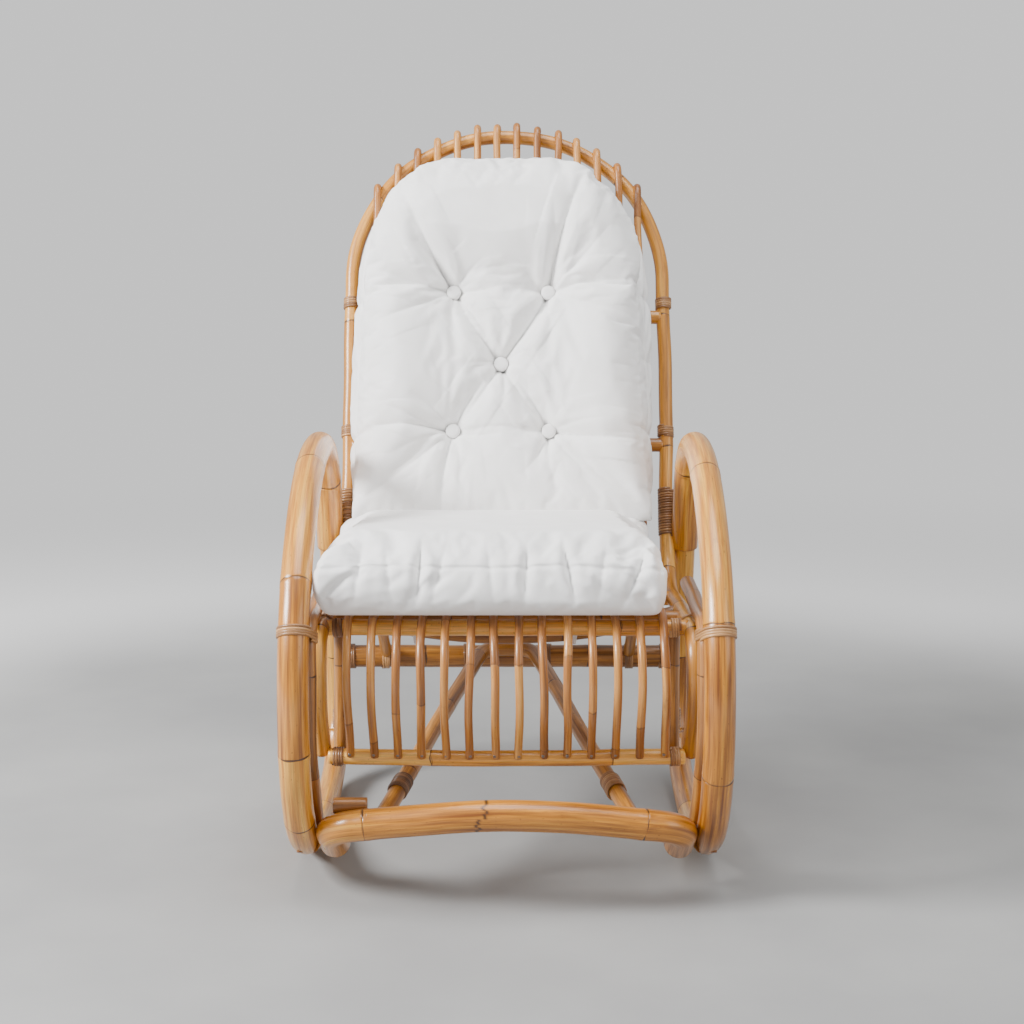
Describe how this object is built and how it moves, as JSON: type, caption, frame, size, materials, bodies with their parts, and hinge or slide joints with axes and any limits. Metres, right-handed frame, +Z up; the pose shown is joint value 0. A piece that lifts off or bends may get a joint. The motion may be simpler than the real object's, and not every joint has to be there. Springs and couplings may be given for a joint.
{
  "type": "rocking chair",
  "caption": "Full-size rattan rocking chair with looped arms and runners, a rounded rod back, a slatted front panel and a buttoned cotton cushion.",
  "frame": {"origin": "on the floor, under the middle of the chair's bounding box", "axes": "+Z up, -Y the way the sitter faces, +X to the right seen from the front"},
  "size_m": [0.6044, 0.8498, 1.0618],
  "materials": {
    "manau_cane": "satin",
    "cane_rod": "satin",
    "cane_strip": "satin",
    "cotton": "matte",
    "nail_steel": "satin"
  },
  "bodies": {
    "root": {"arm_hoop_left": "manau_cane", "arm_hoop_right": "manau_cane", "back_cushion": "cotton", "back_hoop": "manau_cane", "back_lower_rail": "manau_cane", "back_upper_rail": "manau_cane", "corner_lashings": "cane_strip", "cushion_buttons": "cotton", "cushion_ties": "cotton", "front_lower_rail": "manau_cane", "front_post_left": "manau_cane", "front_post_right": "manau_cane", "front_stretcher": "manau_cane", "front_top_rail": "manau_cane", "hoop_brace_left": "manau_cane", "hoop_brace_right": "manau_cane", "hoop_lashings": "cane_strip", "lower_rail_lashings": "cane_strip", "post_lashings": "cane_strip", "rear_cross_rail": "manau_cane", "rear_post_left": "manau_cane", "rear_post_right": "manau_cane", "rear_rail_lashings": "cane_strip", "rod_01": "cane_rod", "rod_02": "cane_rod", "rod_03": "cane_rod", "rod_04": "cane_rod", "rod_05": "cane_rod", "rod_06": "cane_rod", "rod_07": "cane_rod", "rod_08": "cane_rod", "rod_09": "cane_rod", "rod_10": "cane_rod", "rod_11": "cane_rod", "rod_12": "cane_rod", "rod_13": "cane_rod", "rod_14": "cane_rod", "rod_nails": "nail_steel", "runner_left": "manau_cane", "runner_right": "manau_cane", "scarf_plug_left": "cane_rod", "scarf_plug_right": "cane_rod", "seat_bow_rail": "manau_cane", "seat_cushion": "cotton", "seat_middle_rail": "manau_cane", "seat_rear_rail": "manau_cane", "seat_side_rail_left": "manau_cane", "seat_side_rail_right": "manau_cane", "splice_lashings": "cane_strip", "stretcher_stub": "manau_cane", "top_rail_lashings": "cane_strip", "upright_lashings": "cane_strip", "v_brace": "manau_cane", "v_foot_lashings": "cane_strip"}
  },
  "joints": []
}
